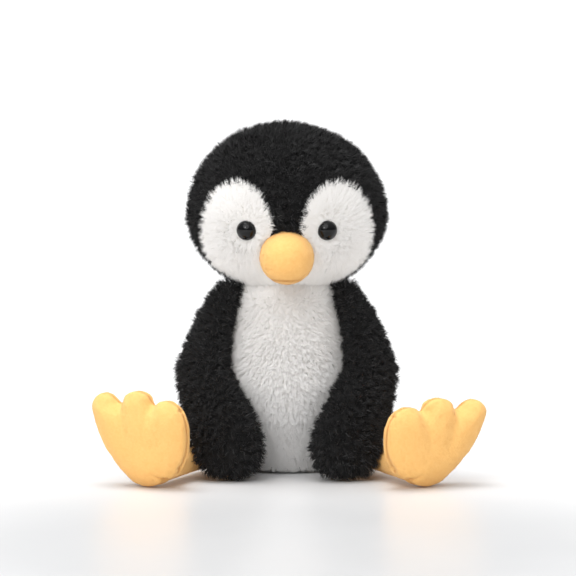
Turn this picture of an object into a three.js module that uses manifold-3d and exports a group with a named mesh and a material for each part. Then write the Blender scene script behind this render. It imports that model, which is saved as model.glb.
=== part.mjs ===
// Plush penguin, seated, in millimetres. +Z is up, the toy faces -Y, and the origin is on the floor
// under the middle of the body. "Right" is the +X side, which is on the viewer's right.
import * as THREE from 'three';
import { mergeVertices } from 'three/addons/utils/BufferGeometryUtils.js';
import Module from 'manifold-3d';

const wasm = await Module();
wasm.setup();

// Driving dimensions. Every soft surface is drawn at the middle of its pile.
const SEAM = 0.3;
const PILE_CLOTH = 2.4;
const VELOUR = 1.8;

const HEAD = { centre: [0, 0, 143], radii: [52.5, 46, 46.5] };
const HEAD_BOTTOM = 106;
const TORSO_TOP = 99.8;
const NECK = { centre: [0, 0, 103], radius: 22.5, clearance: 0.9 };

// [height, half width, half depth] of the torso, from the crown of the neck down to the flat seat.
const TORSO = [
  [110, 0, 0],
  [108, 18, 18],
  [104, 25, 26],
  [97, 27, 28.5],
  [86, 29.6, 32.5],
  [74, 32.8, 36.5],
  [61, 36.2, 39.4],
  [46, 39.2, 41.2],
  [30, 41, 41.5],
  [16, 39.8, 39],
  [7, 36.8, 35.5],
  [0.9, 31.5, 30],
  [0, 28, 26.5],
  [0, 0, 0],
];
const BELLY_HALF_WIDTH = 30;
const BELLY_BACK_EDGE = -7;
const BASE_HEIGHT = 3;

// White part of the face: two tall lobes that join in the chin, seen from the front.
const LOBE = { x: 26.5, z: 132.5, halfWidth: 19, halfHeight: 27 };
const CHIN = { halfWidth: 26, bottom: 90, top: 117 };
const FACE_BACK = -10;

const BEAK = { centre: [0, -41, 119.6], radii: [15, 20.5, 14.8] };
const BEAK_SEAM = 110.5;

const EYE = { x: 22.4, z: 133.6, radius: 5.25, height: 4.4, sunk: 1.9 };
const SHANK = { radius: 2, length: 11.5 };
const WASHER = { radius: 6, hole: 2.35, thickness: 1.6, depth: 1.5 };

const POUCH = { centre: [0, 0, 10.7], radii: [25, 24, 7.5], cloth: 0.8, smooth: [20, 6] };

// The right wing from its top to its tip: centre, the way its outer side faces (degrees round from
// the toy's side towards its front), half width and half thickness.
const WING = [
  { at: [35.5, -4, 103], faces: 5, half: [11, 8] },
  { at: [36.5, -6, 95], faces: 8, half: [13, 8.6] },
  { at: [39.2, -8, 86], faces: 10, half: [16, 8.8] },
  { at: [43.2, -12, 73], faces: 14, half: [19, 9.9] },
  { at: [46.5, -21.5, 57], faces: 28, half: [21.5, 12.4] },
  { at: [41, -35.5, 42], faces: 48, half: [22.5, 13] },
  { at: [34.2, -44.6, 27], faces: 66, half: [22, 12.8] },
  { at: [31.4, -48, 13.5], faces: 80, half: [20.5, 12] },
  { at: [31.2, -48.6, 2], faces: 84, half: [19, 10.5] },
];

// Straight leg from the hip to the ankle, then the foot standing up in front of it.
const LEG_RADIUS = 7.5;
const HIP_CLEARANCE = 0.9;
const HIP = [41, -7.5, 11];
const ANKLE = [60.8, -56.5, 12];
const ANKLE_TO_MIDDLE = 18.9;
const FOOT_YAW = THREE.MathUtils.degToRad(30);
const FOOT_THICKNESS = 22;
const FOOT_LIFT = 0.1;
const FOOT_MIDDLE = [8, 24.5];
// Outline of the foot from the heel round by the outer edge, over three toes and back:
// [outwards, up].
const FOOT_OUTLINE = [
  [0, 0],
  [10, 1],
  [18.5, 6.5],
  [26.5, 15.5],
  [32.5, 25.5],
  [36.5, 35.5],
  [37.5, 42.5],
  [33, 48],
  [26.5, 47.5],
  [20, 43.5],
  [16.5, 48.5],
  [10, 51],
  [3.5, 49],
  [-1, 43],
  [-5, 46],
  [-10.5, 45.5],
  [-15.5, 40],
  [-18, 31],
  [-17, 18.5],
  [-12.8, 7.5],
  [-7, 1.5],
];

const LABEL = { thickness: 0.7, length: 17, height: 14, bottom: 7 };

const black = material('black_pile', 0x1c1b1d, 0.95);
const white = material('white_pile', 0xe9e5e0, 0.95);
const yellow = material('yellow_velour', 0xf8c977, 0.9);
const fibre = material('fibre_fill', 0xf2f1ec, 1);
const muslin = material('pouch_cloth', 0xd9d2c0, 0.9);
const pellets = material('pellets', 0xc9ccd0, 0.5);
const glossBlack = material('eye_plastic', 0x08080a, 0.12);
const washerPlastic = material('washer_plastic', 0xe6e6e2, 0.5);
const tape = material('label_tape', 0xf6f6f4, 0.6);

function material(name, color, roughness) {
  return new THREE.MeshStandardMaterial({ name, color, roughness, metalness: 0 });
}

// ---- joining and cutting ----

/** A closed three.js geometry as a solid that can be joined and cut. */
function solidOf(geometry) {
  geometry.deleteAttribute('normal');
  geometry.deleteAttribute('uv');
  const merged = mergeVertices(geometry);
  const corners = merged.index.array;
  const triangles = [];
  for (let i = 0; i < corners.length; i += 3) {
    const [a, b, c] = corners.slice(i, i + 3);
    if (a !== b && b !== c && c !== a) triangles.push(a, b, c);
  }
  return new wasm.Manifold(new wasm.Mesh({
    numProp: 3,
    vertProperties: new Float32Array(merged.attributes.position.array),
    triVerts: new Uint32Array(triangles),
  }));
}

/** A named mesh of a solid, or of the first solid less all the others. */
function piece(name, finish, whole, ...cutters) {
  const solid = cutters.reduce((left, cutter) => left.subtract(cutter), whole);
  const mesh = solid.getMesh();
  const geometry = new THREE.BufferGeometry();
  geometry.setAttribute('position', new THREE.BufferAttribute(mesh.vertProperties, 3));
  geometry.setIndex(new THREE.BufferAttribute(mesh.triVerts, 1));
  geometry.computeVertexNormals();
  const result = new THREE.Mesh(geometry, finish);
  result.name = name;
  return result;
}

// ---- basic forms ----

/** A box between two opposite corners. */
function block(low, high) {
  const size = high.map((value, i) => value - low[i]);
  const middle = high.map((value, i) => (value + low[i]) / 2);
  return solidOf(new THREE.BoxGeometry(...size).translate(...middle));
}

const FAR = 200;
const above = (z) => block([-FAR, -FAR, z], [FAR, FAR, FAR]);
const below = (z) => block([-FAR, -FAR, -FAR], [FAR, FAR, z]);
const rightOf = (x) => block([x, -FAR, -FAR], [FAR, FAR, FAR]);
const leftOf = (x) => block([-FAR, -FAR, -FAR], [x, FAR, FAR]);

/** The half of space on one side of the middle plane, less half a seam. */
function halfSpace(side) {
  return side > 0 ? rightOf(SEAM / 2) : leftOf(-SEAM / 2);
}

function ellipsoid({ centre, radii }, grow, sides, rings) {
  const [a, b, c] = radii.map((radius) => radius + grow);
  return solidOf(
    new THREE.SphereGeometry(1, sides, rings).rotateX(Math.PI / 2).scale(a, b, c).translate(...centre),
  );
}

function ball(centre, radius) {
  return ellipsoid({ centre, radii: [radius, radius, radius] }, 0, 20, 12);
}

/** Stretches a sphere's grid so that each of its rows lies where pointOn(row, turn) says. */
function loft(rows, sides, pointOn) {
  const geometry = new THREE.SphereGeometry(1, sides, rows - 1);
  const position = geometry.attributes.position;
  for (let i = 0; i < position.count; i += 1) {
    const row = Math.floor(i / (sides + 1));
    const turn = ((i % (sides + 1)) / sides) * 2 * Math.PI;
    position.setXYZ(i, ...pointOn(row, turn));
  }
  return solidOf(geometry);
}

/** A round bar with domed ends between two points. */
function roundBar(from, to, radius, extra = 0) {
  const start = new THREE.Vector3(...from);
  const along = new THREE.Vector3(...to).sub(start);
  const turn = new THREE.Quaternion().setFromUnitVectors(
    new THREE.Vector3(0, 1, 0),
    along.clone().normalize(),
  );
  const middle = start.addScaledVector(along, 0.5);
  return solidOf(
    new THREE.CapsuleGeometry(radius, along.length() + extra, 2, 10)
      .applyQuaternion(turn)
      .translate(middle.x, middle.y, middle.z),
  );
}

// ---- torso ----

/** The torso's form, smaller all round by inset. */
function torsoForm(inset) {
  const around = 24;
  const squeeze = (TORSO_TOP - inset) / TORSO_TOP;
  return loft(TORSO.length, around, (row, turn) => {
    const [z, halfWidth, halfDepth] = TORSO[row];
    const inward = halfWidth > 0 ? inset : 0;
    return [
      (halfWidth - inward) * Math.cos(turn),
      (halfDepth - inward) * Math.sin(turn),
      inset + z * squeeze,
    ];
  });
}

const sides = [['left', -1], ['right', 1]];
const mirrored = ([x, y, z], side) => [side * x, y, z];
const hipSockets = sides.map(
  ([, side]) => roundBar(mirrored(HIP, side), mirrored(ANKLE, side), LEG_RADIUS + HIP_CLEARANCE),
);
const torsoSkin = torsoForm(0).subtract(torsoForm(PILE_CLOTH)).subtract(above(TORSO_TOP));
const bellyRegion = (grow) => block(
  [-BELLY_HALF_WIDTH - grow, -FAR, BASE_HEIGHT],
  [BELLY_HALF_WIDTH + grow, BELLY_BACK_EDGE + grow, FAR],
);

function bellyPanel() {
  return piece('belly_panel', white, torsoSkin.intersect(bellyRegion(0)), ...hipSockets);
}

function backPanel(name, side) {
  return piece(
    `back_panel_${name}`,
    black,
    torsoSkin.intersect(halfSpace(side)),
    bellyRegion(SEAM),
    below(BASE_HEIGHT),
    ...hipSockets,
  );
}

function basePanel() {
  return piece('base_panel', black, torsoSkin, above(BASE_HEIGHT - SEAM), ...hipSockets);
}

function bodyStuffing() {
  const pouchSpace = ellipsoid(POUCH, SEAM, ...POUCH.smooth);
  const wayOut = solidOf(
    new THREE.CylinderGeometry(20, 20, POUCH.centre[2], 20)
      .rotateX(Math.PI / 2)
      .translate(0, 0, POUCH.centre[2] / 2),
  );
  return piece(
    'body_stuffing',
    fibre,
    torsoForm(PILE_CLOTH + SEAM),
    above(TORSO_TOP - SEAM),
    ball(NECK.centre, NECK.radius + NECK.clearance),
    pouchSpace,
    wayOut,
    ...hipSockets,
  );
}

function pelletPouch() {
  const [, , middle] = POUCH.centre;
  const cloth = ellipsoid(POUCH, 0, ...POUCH.smooth).subtract(ellipsoid(POUCH, -POUCH.cloth, ...POUCH.smooth));
  return [
    piece('pouch_top', muslin, cloth, below(middle + SEAM / 2)),
    piece('pouch_bottom', muslin, cloth, above(middle - SEAM / 2)),
    piece('pellet_fill', pellets, ellipsoid(POUCH, -POUCH.cloth - SEAM, ...POUCH.smooth)),
  ];
}

/** A blank tape loop, caught in the seam down the middle of the back. */
function careLabel() {
  const [, , backDepth] = TORSO[TORSO.length - 5];
  const flap = block(
    [-LABEL.thickness / 2, backDepth - 4, LABEL.bottom],
    [LABEL.thickness / 2, backDepth + LABEL.length, LABEL.bottom + LABEL.height],
  );
  return piece('care_label', tape, flap, torsoForm(-SEAM));
}

function neckStuffing() {
  return piece('neck_stuffing', fibre, ball(NECK.centre, NECK.radius));
}

// ---- head ----

function headForm(inset) {
  return ellipsoid(HEAD, -inset, 24, 14);
}

/** The prism through the head whose outline is the white of the face. */
function faceRegion(grow) {
  const prism = (shape) => solidOf(
    new THREE.ExtrudeGeometry(shape, { depth: FAR, bevelEnabled: false, curveSegments: 12 })
      .rotateX(Math.PI / 2)
      .translate(0, FACE_BACK + grow, 0),
  );
  const lobe = (side) => {
    const shape = new THREE.Shape();
    shape.absellipse(
      side * LOBE.x,
      LOBE.z,
      LOBE.halfWidth + grow,
      LOBE.halfHeight + grow,
      0,
      2 * Math.PI,
    );
    return prism(shape);
  };
  const chin = new THREE.Shape([
    new THREE.Vector2(-CHIN.halfWidth - grow, CHIN.bottom),
    new THREE.Vector2(CHIN.halfWidth + grow, CHIN.bottom),
    new THREE.Vector2(CHIN.halfWidth + grow, CHIN.top + grow),
    new THREE.Vector2(-CHIN.halfWidth - grow, CHIN.top + grow),
  ]);
  return lobe(-1).add(lobe(1)).add(prism(chin));
}

/** Where an eye meets the head, and the turn from +Z to the head's outward normal there. */
function eyePlace(side) {
  const [rx, ry, rz] = HEAD.radii;
  const x = side * EYE.x;
  const z = EYE.z - HEAD.centre[2];
  const y = -ry * Math.sqrt(1 - (x / rx) ** 2 - (z / rz) ** 2);
  const normal = new THREE.Vector3(x / rx ** 2, y / ry ** 2, z / rz ** 2).normalize();
  const turn = new THREE.Quaternion().setFromUnitVectors(new THREE.Vector3(0, 0, 1), normal);
  return { point: new THREE.Vector3(x, y, z + HEAD.centre[2]), turn };
}

/** A turned form on an eye's own axis: profile points are [radius, height above the cloth]. */
function turnedAtEye(side, profile, segments = 14) {
  const { point, turn } = eyePlace(side);
  const geometry = new THREE.LatheGeometry(profile.map(([r, h]) => new THREE.Vector2(r, h)), segments);
  return solidOf(
    geometry.rotateX(Math.PI / 2).applyQuaternion(turn).translate(point.x, point.y, point.z),
  );
}

function eyeSolid(side, grow) {
  const seat = -EYE.sunk;
  const dome = [];
  const steps = 4;
  for (let i = 0; i <= steps; i += 1) {
    const angle = (i / steps) * (Math.PI / 2);
    dome.push([
      (EYE.radius + grow) * Math.cos(angle),
      seat + (EYE.height + grow) * Math.sin(angle),
    ]);
  }
  dome[steps][0] = 0;
  return turnedAtEye(side, [
    [0, seat - SHANK.length - grow],
    [SHANK.radius + grow, seat - SHANK.length - grow],
    [SHANK.radius + grow, seat - grow],
    [EYE.radius + grow, seat - grow],
    ...dome,
  ]);
}

const WASHER_FRONT = -EYE.sunk - WASHER.depth;
const WASHER_BACK = WASHER_FRONT - WASHER.thickness;

function washerSolid(side) {
  return turnedAtEye(side, [
    [WASHER.hole, WASHER_BACK],
    [WASHER.radius, WASHER_BACK],
    [WASHER.radius, WASHER_FRONT],
    [WASHER.hole, WASHER_FRONT],
    [WASHER.hole, WASHER_BACK],
  ]);
}

/** The pocket in the filling behind an eye, which holds its washer and the end of its shank. */
function washerPocket(side) {
  return turnedAtEye(side, [
    [0, WASHER_BACK - SEAM],
    [WASHER.radius + SEAM, WASHER_BACK - SEAM],
    [WASHER.radius + SEAM, 0],
    [0, 0],
  ]).add(eyeSolid(side, SEAM));
}

const headSkin = headForm(0).subtract(headForm(PILE_CLOTH)).subtract(below(HEAD_BOTTOM));

function faceAndCrown(name, side) {
  const skin = headSkin.intersect(halfSpace(side));
  return [
    piece(`face_panel_${name}`, white, skin.intersect(faceRegion(0)), eyeSolid(side, SEAM)),
    piece(`crown_panel_${name}`, black, skin, faceRegion(SEAM)),
  ];
}

function eyeAndWasher(name, side) {
  return [
    piece(`eye_${name}`, glossBlack, eyeSolid(side, 0)),
    piece(`eye_washer_${name}`, washerPlastic, washerSolid(side)),
  ];
}

function headStuffing() {
  return piece(
    'head_stuffing',
    fibre,
    headForm(PILE_CLOTH + SEAM),
    below(HEAD_BOTTOM + SEAM),
    ball(NECK.centre, NECK.radius + NECK.clearance),
    ...sides.map(([, side]) => washerPocket(side)),
  );
}

function beak() {
  const head = headForm(-SEAM);
  const form = (inset) => ellipsoid(BEAK, -inset, 18, 10);
  const skin = form(0).subtract(form(VELOUR)).subtract(head);
  return [
    piece('beak_upper', yellow, skin, below(BEAK_SEAM + SEAM / 2)),
    piece('beak_lower', yellow, skin, above(BEAK_SEAM - SEAM / 2)),
    piece('beak_stuffing', fibre, form(VELOUR + SEAM), head),
  ];
}

// ---- wings ----

const wingPath = new THREE.CatmullRomCurve3(WING.map(({ at }) => new THREE.Vector3(...at)));
const wingSizes = new THREE.CatmullRomCurve3(
  WING.map(({ faces, half: [wide, thick] }) => new THREE.Vector3(faces, wide, thick)),
);

/** The wing's form, smaller all round by inset. */
function wingForm(side, inset, [around, along]) {
  const length = WING[0].at[2] - WING[WING.length - 1].at[2];
  return loft(along + 1, around, (row, turn) => {
    const angle = (row / along) * Math.PI;
    const place = inset / length + ((1 - Math.cos(angle)) / 2) * (1 - (2 * inset) / length);
    const roundness = Math.sqrt(Math.abs(Math.sin(angle)));
    const centre = wingPath.getPoint(place);
    const { x: faces, y: wide, z: thick } = wingSizes.getPoint(place);
    const facing = THREE.MathUtils.degToRad(faces);
    const out = (thick - inset) * roundness * Math.cos(side * turn);
    const across = (wide - inset) * roundness * Math.sin(side * turn);
    return [
      side * (centre.x + out * Math.cos(facing) + across * Math.sin(facing)),
      centre.y - out * Math.sin(facing) + across * Math.cos(facing),
      centre.z,
    ];
  });
}

/** Everything on the outer side of the seam along the wing's middle, as a half-round bar. */
function wingOuterHalf(side, offset) {
  const along = 16;
  const reach = 30;
  const overhang = 12;
  return loft(along + 1, 8, (row, turn) => {
    const centre = wingPath.getPoint(row / along);
    const facing = THREE.MathUtils.degToRad(wingSizes.getPoint(row / along).x);
    const atEnd = row === 0 || row === along;
    const size = atEnd ? 0 : reach;
    const out = offset + size * Math.max(Math.cos(side * turn), 0);
    const across = size * Math.sin(side * turn);
    const past = atEnd ? overhang * Math.sign(along / 2 - row) : 0;
    return [
      side * (centre.x + out * Math.cos(facing) + across * Math.sin(facing)),
      centre.y - out * Math.sin(facing) + across * Math.cos(facing),
      centre.z + past,
    ];
  });
}

function wing(name, side) {
  const smooth = [12, 11];
  const skin = wingForm(side, 0, smooth).subtract(wingForm(side, PILE_CLOTH, smooth));
  return [
    piece(`wing_outer_${name}`, black, skin.intersect(wingOuterHalf(side, SEAM / 2))),
    piece(`wing_inner_${name}`, black, skin, wingOuterHalf(side, -SEAM / 2)),
    piece(`wing_stuffing_${name}`, fibre, wingForm(side, PILE_CLOTH + SEAM, smooth)),
  ];
}

// ---- legs and feet ----

function leg(name, side) {
  const hip = mirrored(HIP, side);
  const ankle = mirrored(ANKLE, side);
  const bar = (inset, extra) => roundBar(hip, ankle, LEG_RADIUS - inset, extra);
  return [
    piece(`leg_tube_${name}`, yellow, bar(0), bar(VELOUR), bar(VELOUR + 1.5, 12)),
    piece(`leg_stuffing_${name}`, fibre, bar(VELOUR + SEAM)),
  ];
}

const footOutline = new THREE.CatmullRomCurve3(
  FOOT_OUTLINE.map(([outwards, up]) => new THREE.Vector3(outwards, up, 0)),
  true,
);

/** The puffed foot, smaller all round by inset. */
function footForm(side, inset, [around, layers]) {
  const out = new THREE.Vector3(Math.cos(FOOT_YAW), Math.sin(FOOT_YAW), 0);
  const ahead = new THREE.Vector3(Math.sin(FOOT_YAW), -Math.cos(FOOT_YAW), 0);
  const middle = new THREE.Vector3(...ANKLE).setZ(FOOT_LIFT).addScaledVector(ahead, ANKLE_TO_MIDDLE);
  const [middleOut, middleUp] = FOOT_MIDDLE;
  const shrink = 1 - inset / middleUp;
  return loft(layers + 1, around, (row, turn) => {
    const angle = (row / layers) * Math.PI;
    const spread = shrink * Math.sin(angle) ** 0.6;
    const share = (((side * turn) / (2 * Math.PI)) % 1 + 1) % 1;
    const edge = footOutline.getPoint(share);
    const across = middleOut + (edge.x - middleOut) * spread;
    const up = middleUp + (edge.y - middleUp) * spread;
    const forward = (FOOT_THICKNESS / 2 - inset) * Math.cos(angle);
    return [
      side * (middle.x + out.x * across + ahead.x * forward),
      middle.y + out.y * across + ahead.y * forward,
      middle.z + up,
    ];
  });
}

/** Everything on the sole's side of the seam round the foot's edge. */
function soleSide(side, offset) {
  const ahead = new THREE.Vector3(side * Math.sin(FOOT_YAW), -Math.cos(FOOT_YAW), 0);
  const seam = new THREE.Vector3(...mirrored(ANKLE, side)).addScaledVector(
    ahead,
    ANKLE_TO_MIDDLE + offset,
  );
  return solidOf(
    new THREE.BoxGeometry(FAR, FAR, FAR)
      .translate(0, -FAR / 2, 0)
      .rotateZ(side * FOOT_YAW)
      .translate(seam.x, seam.y, seam.z),
  );
}

function foot(name, side) {
  const smooth = [32, 6];
  const skin = footForm(side, 0, smooth).subtract(footForm(side, VELOUR, smooth));
  return [
    piece(`foot_sole_${name}`, yellow, skin.intersect(soleSide(side, SEAM / 2))),
    piece(`foot_upper_${name}`, yellow, skin, soleSide(side, -SEAM / 2)),
    piece(`foot_stuffing_${name}`, fibre, footForm(side, VELOUR + SEAM, smooth)),
  ];
}

// ---- the whole toy ----

const penguin = new THREE.Group();
penguin.add(bellyPanel(), basePanel(), bodyStuffing(), ...pelletPouch(), careLabel());
penguin.add(neckStuffing(), headStuffing(), ...beak());
for (const [name, side] of sides) {
  penguin.add(backPanel(name, side));
  penguin.add(...faceAndCrown(name, side), ...eyeAndWasher(name, side));
  penguin.add(...wing(name, side));
  penguin.add(...leg(name, side), ...foot(name, side));
}

export default penguin;
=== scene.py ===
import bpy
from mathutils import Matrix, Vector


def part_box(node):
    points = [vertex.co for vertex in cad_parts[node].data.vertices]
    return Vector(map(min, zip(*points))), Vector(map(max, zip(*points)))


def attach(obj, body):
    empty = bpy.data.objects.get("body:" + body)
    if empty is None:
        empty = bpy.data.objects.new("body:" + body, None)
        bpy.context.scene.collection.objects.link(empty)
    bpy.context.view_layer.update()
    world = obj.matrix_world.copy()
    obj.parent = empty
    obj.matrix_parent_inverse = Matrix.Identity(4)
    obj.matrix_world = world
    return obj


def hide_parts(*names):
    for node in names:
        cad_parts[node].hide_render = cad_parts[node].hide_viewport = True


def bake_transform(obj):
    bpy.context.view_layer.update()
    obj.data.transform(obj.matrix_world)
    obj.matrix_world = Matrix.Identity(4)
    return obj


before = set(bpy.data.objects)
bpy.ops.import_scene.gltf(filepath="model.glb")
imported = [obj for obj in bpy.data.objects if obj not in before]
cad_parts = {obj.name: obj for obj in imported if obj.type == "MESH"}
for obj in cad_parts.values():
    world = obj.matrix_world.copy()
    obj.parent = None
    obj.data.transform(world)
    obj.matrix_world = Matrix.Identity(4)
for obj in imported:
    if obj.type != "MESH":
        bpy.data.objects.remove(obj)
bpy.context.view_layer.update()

import itertools
import math

import bpy
import numpy as np
from mathutils import Matrix, Vector

# ---------------------------------------------------------------- body filling
# A pear of loose polyester fibre that the body's cloth is pulled tight over. It is widest near the
# floor, and its narrow top stands up inside the head, which is sewn on round it.
MM = 0.001
BACKING = 2.2  # how far the cloth's knitted ground lies under the middle of its pile
FILLING_GAP = 0.6  # between that ground and the filling
FILL_STEPS = 20
BODY_RINGS = [
    # height, half the width, half the depth
    (110.0, 6, 6), (108.5, 12, 12), (104, 25, 26), (97, 27, 28.5), (86, 29.6, 32.5), (74, 32.8, 36.5),
    (61, 36.2, 39.8), (50, 38.6, 41.5), (40, 40.2, 41.5), (30, 41, 41.5), (16, 39.8, 39), (7, 36.8, 35.5),
    (3.4, 31.5, 30), (2.6, 24, 24), (2.4, 10, 10),
]
# how far the lower front is drawn back, by height
TUCKED_UNDER = ([2.4, 3.4, 7, 11, 16, 30, 40, 50], [0, 6, 9.5, 9, 8, 4, 1.5, 0])


class Strand:
    """A value in a finish's recipe, which works like a number."""

    def __init__(self, tree, socket=None):
        self.tree = tree
        self.socket = socket

    def node(self, kind, settings=None, sockets=None, give=0):
        """Adds one step to the recipe: its settings first, then its values and links."""
        step = self.tree.nodes.new("ShaderNode" + kind)
        for key, value in (settings or {}).items():
            if key == "stops":
                ramp = step.color_ramp
                while len(ramp.elements) < len(value):
                    ramp.elements.new(0.5)
                for stop, (place, colour) in zip(ramp.elements, value):
                    stop.position = place
                    stop.color = (*colour, 1)
            else:
                setattr(step, key, value)
        for key, value in (sockets or {}).items():
            if isinstance(value, Strand):
                self.tree.links.new(value.socket, step.inputs[key])
            elif step.inputs[key].type == "RGBA" and len(value) == 3:
                step.inputs[key].default_value = (*value, 1)
            else:
                step.inputs[key].default_value = value
        return Strand(self.tree, step.outputs[give])

    def sum(self, operation, one, other):
        return self.node("Math", {"operation": operation}, {0: one, 1: other})

    def __add__(self, other):
        return self.sum("ADD", self, other)

    def __rsub__(self, other):
        return self.sum("SUBTRACT", other, self)

    def __mul__(self, other):
        return self.sum("MULTIPLY", self, other)

    __radd__ = __add__
    __rmul__ = __mul__


def finish(name, recipe, **fixed):
    """A material whose recipe links what changes over the surface; fixed sets the rest of it."""
    material = bpy.data.materials.new(name)
    material.use_nodes = True
    tree = material.node_tree
    surface = tree.nodes["Principled BSDF"]
    for key, value in fixed.items():
        surface.inputs[key.replace("_", " ")].default_value = value
    for key, value in recipe(Strand(tree)).items():
        tree.links.new(value.socket, surface.inputs[key])
    return material


def mixed(share, one, other):
    """Two colours mixed by share."""
    return share.node("Mix", {"data_type": "RGBA"}, {0: share, 6: one, 7: other}, 2)


def grain(start, size, detail=3.0):
    """A soft random pattern whose patches are about size millimetres across, from 0 to 1."""
    place = start.node("TexCoord", give=3)
    return start.node("TexNoise", {}, {"Vector": place, "Scale": 1 / (size * MM), "Detail": detail})


def fibre_recipe(start):
    clots = grain(start, 3)
    threads = grain(start, 0.35, 5)
    return {
        "Base Color": mixed(clots, (0.62, 0.60, 0.56), (0.80, 0.79, 0.76)),
        "Roughness": 0.85 + clots * 0.12,
        "Normal": start.node("Bump", {}, {"Height": threads + clots, "Distance": 0.4 * MM}),
    }


fibre = finish("fibre_fill", fibre_recipe, Sheen_Weight=0.3)


def points_of(piece):
    """A piece's points as an array."""
    flat = np.empty(len(piece.data.vertices) * 3)
    piece.data.vertices.foreach_get("co", flat)
    return flat.reshape(-1, 3)


def move_points(piece, points):
    piece.data.vertices.foreach_set("co", points.ravel())
    piece.data.update()


def normals_of(piece):
    flat = np.empty(len(piece.data.vertices) * 3)
    piece.data.vertex_normals.foreach_get("vector", flat)
    return flat.reshape(-1, 3)


def put_down():
    """Leaves nothing selected, so that the next tool works only on what it adds."""
    bpy.ops.object.select_all(action="DESELECT")


def pick_up(piece):
    put_down()
    piece.select_set(True)
    bpy.context.view_layer.objects.active = piece


def loft(name, rings, sides=40):
    """Rings along a path, each at a centre, turned about Z, with half sizes, bridged into a closed form."""
    put_down()
    circles = []
    for centre, turn, half in rings:
        bpy.ops.mesh.primitive_circle_add(
            vertices=sides, radius=MM, location=[c * MM for c in centre], rotation=(0, 0, turn)
        )
        bpy.context.object.scale = (half[0], half[1], 1)
        circles.append(bpy.context.object)
    put_down()
    for circle in circles:
        circle.select_set(True)
    bpy.context.view_layer.objects.active = circles[0]
    bpy.ops.object.join()
    bpy.ops.object.transform_apply(location=True, rotation=True, scale=True)
    bpy.ops.object.mode_set(mode="EDIT")
    bpy.ops.mesh.select_all(action="SELECT")
    bpy.ops.mesh.bridge_edge_loops()
    bpy.ops.mesh.select_all(action="SELECT")
    bpy.ops.mesh.fill_holes(sides=0)
    bpy.ops.mesh.select_all(action="SELECT")
    bpy.ops.mesh.normals_make_consistent(inside=False)
    bpy.ops.object.mode_set(mode="OBJECT")
    form = bpy.context.object
    form.name = name
    form.data.name = name
    return form


def stuff(form, cell, pressure, reach, levels=1):
    """Fills a sewn form: an even skin, blown up from inside, no point moving more than reach."""
    pick_up(form)
    form.data.remesh_voxel_size = cell * MM
    bpy.ops.object.voxel_remesh()
    before = points_of(form)
    cloth = form.modifiers.new("filling", "CLOTH")
    cloth.settings.quality = 5
    cloth.settings.use_pressure = True
    cloth.settings.uniform_pressure_force = pressure
    cloth.settings.effector_weights.gravity = 0
    for step in range(1, FILL_STEPS + 1):
        bpy.context.scene.frame_set(step)
    bpy.ops.object.modifier_apply(modifier="filling")
    moved = points_of(form) - before
    far = np.linalg.norm(moved, axis=1, keepdims=True)
    move_points(form, before + moved * np.minimum(1, reach * MM / np.maximum(far, 1e-9)))
    bpy.context.scene.frame_set(1)
    rounder = form.modifiers.new("rounder", "SUBSURF")
    rounder.levels = levels
    rounder.render_levels = levels
    bpy.ops.object.modifier_apply(modifier="rounder")
    bpy.ops.object.shade_smooth()
    return form


def fit_box(form, low, high):
    """Brings a filled form back to the size that it was cut for."""
    points = points_of(form)
    least, most = points.min(0), points.max(0)
    low, high = np.array(low) * MM, np.array(high) * MM
    move_points(form, low + (points - least) / (most - least) * (high - low))


def padded_piece(piece, body, slot, material, fill, *nodes):
    piece.data.materials.clear()
    piece.data.materials.append(material)
    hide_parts(*nodes)
    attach(piece, body)
    return piece


def body_rings():
    """The body's rings, smaller by the cloth, each moved back by half of what its front is drawn back."""
    rings = []
    for z, wide, deep in BODY_RINGS:
        tuck = float(np.interp(z, *TUCKED_UNDER)) / 2
        half = (max(wide - BACKING - FILLING_GAP, 3), max(deep - BACKING - FILLING_GAP - tuck, 3))
        rings.append(((0, tuck, z), 0, half))
    return rings


body_form = loft("body_filling", body_rings(), 48)
stuff(body_form, 4, 4, 2.5)
fit_box(body_form, (-38.2, -38.7, 2.6), (38.2, 38.7, 107.5))
padded_piece(body_form, "torso", "fibre_fill", fibre, 0.8, "body_stuffing")


# --------------------------------------------------------------- weight pouch
# Two discs of thin calico sewn together round their edge and filled with plastic pellets. It lies on
# the seat, inside the filling, and keeps the toy sitting up.
def calico_recipe(start):
    place = start.node("TexCoord", give=3)
    threads = start.node("TexWave", {"wave_type": "BANDS"}, {"Vector": place, "Scale": 900.0})
    return {
        "Base Color": mixed(threads, (0.60, 0.55, 0.46), (0.72, 0.68, 0.60)),
        "Roughness": 0.8 + threads * 0.15,
        "Normal": start.node("Bump", {}, {"Height": threads, "Distance": 0.15 * MM}),
    }


def pellet_recipe(start):
    place = start.node("TexCoord", give=3)
    beads = start.node("TexVoronoi", {}, {"Vector": place, "Scale": 1 / (3 * MM)})
    # Painted shade: each pellet is lighter at its top and darker towards its rim, where it meets the next.
    return {
        "Base Color": mixed(beads, (0.75, 0.77, 0.78), (0.55, 0.57, 0.58)),
        "Roughness": 0.3 + beads * 0.2,
        "Normal": start.node("Bump", {}, {"Height": 1 - beads, "Distance": 1 * MM}),
    }


def dress(node, material):
    """Gives a CAD node that stays as it is its finish."""
    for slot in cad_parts[node].material_slots:
        slot.material = material


calico = finish("pouch_cloth", calico_recipe)
dress("pouch_top", calico)
dress("pouch_bottom", calico)
dress("pellet_fill", finish("pellets", pellet_recipe))


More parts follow.
